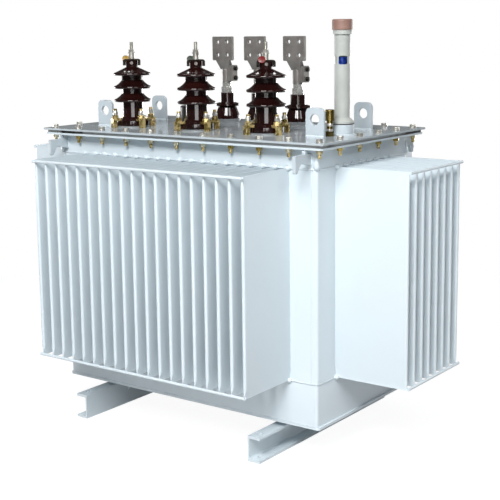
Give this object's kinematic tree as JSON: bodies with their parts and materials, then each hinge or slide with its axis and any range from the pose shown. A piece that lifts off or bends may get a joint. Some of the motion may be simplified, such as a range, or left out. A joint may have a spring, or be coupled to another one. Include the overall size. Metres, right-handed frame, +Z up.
{
  "type": "oil-filled distribution transformer",
  "caption": "Sealed oil-filled distribution transformer with corrugated fin walls, porcelain bushings, flat low-voltage palms, level tube and channel skids.",
  "frame": {"origin": "centre of the footprint on the floor, under the skids", "axes": "+Z up, +X along the length of the tank, -Y towards the high-voltage side"},
  "size_m": [1.5104, 0.9944, 1.2958],
  "materials": {
    "tank_paint": "semi-gloss light blue-grey paint",
    "fin_paint": "semi-gloss light blue-grey paint on thin sheet",
    "gasket_rubber": "matte black rubber",
    "brown_porcelain": "glossy brown glaze",
    "terminal_steel": "bright plated steel",
    "yellow_zinc": "yellow zinc plate",
    "strap_bronze": "dark aged bronze",
    "palm_metal": "satin cast metal",
    "tap_cap_black": "matte dark grey",
    "tube_grey": "satin warm grey paint",
    "sight_glass": "clear tube",
    "float_blue": "glossy blue",
    "cap_terracotta": "satin terracotta",
    "phase_yellow": "yellow phase disc, visual model only",
    "phase_green": "grey-green phase disc, visual model only",
    "phase_red": "red phase disc, visual model only",
    "valve_brass": "turned brass"
  },
  "bodies": {
    "root": {"back_fin_wall": "fin_paint", "bushing_seats": "tank_paint", "corner_posts": "tank_paint", "cover_gasket": "gasket_rubber", "cover_plate": "tank_paint", "filler_cap": "cap_terracotta", "filler_neck": "tank_paint", "floor_plate": "tank_paint", "front_fin_wall": "fin_paint", "hv_clamps_left": "yellow_zinc", "hv_clamps_middle": "yellow_zinc", "hv_clamps_right": "yellow_zinc", "hv_insulator_left": "brown_porcelain", "hv_insulator_middle": "brown_porcelain", "hv_insulator_right": "brown_porcelain", "hv_straps": "strap_bronze", "hv_terminal_left": "terminal_steel", "hv_terminal_middle": "terminal_steel", "hv_terminal_right": "terminal_steel", "left_fin_wall": "fin_paint", "left_skid": "tank_paint", "level_float": "float_blue", "level_tube": "tube_grey", "lifting_eye_back_left": "tank_paint", "lifting_eye_back_right": "tank_paint", "lifting_eye_front_left": "tank_paint", "lifting_eye_front_right": "tank_paint", "lower_skirt": "tank_paint", "lv_insulator_left": "brown_porcelain", "lv_insulator_middle": "brown_porcelain", "lv_insulator_right": "brown_porcelain", "lv_palm_left": "palm_metal", "lv_palm_middle": "palm_metal", "lv_palm_right": "palm_metal", "lv_stud_left": "terminal_steel", "lv_stud_middle": "terminal_steel", "lv_stud_right": "terminal_steel", "relief_valve": "valve_brass", "right_fin_wall": "fin_paint", "right_skid": "tank_paint", "rim_band": "tank_paint", "sight_glass": "sight_glass", "skid_bearers": "tank_paint", "tank_flange": "tank_paint", "tank_hooks": "tank_paint", "tap_changer_cap": "tap_cap_black", "tie_rods": "fin_paint"}
  },
  "joints": []
}
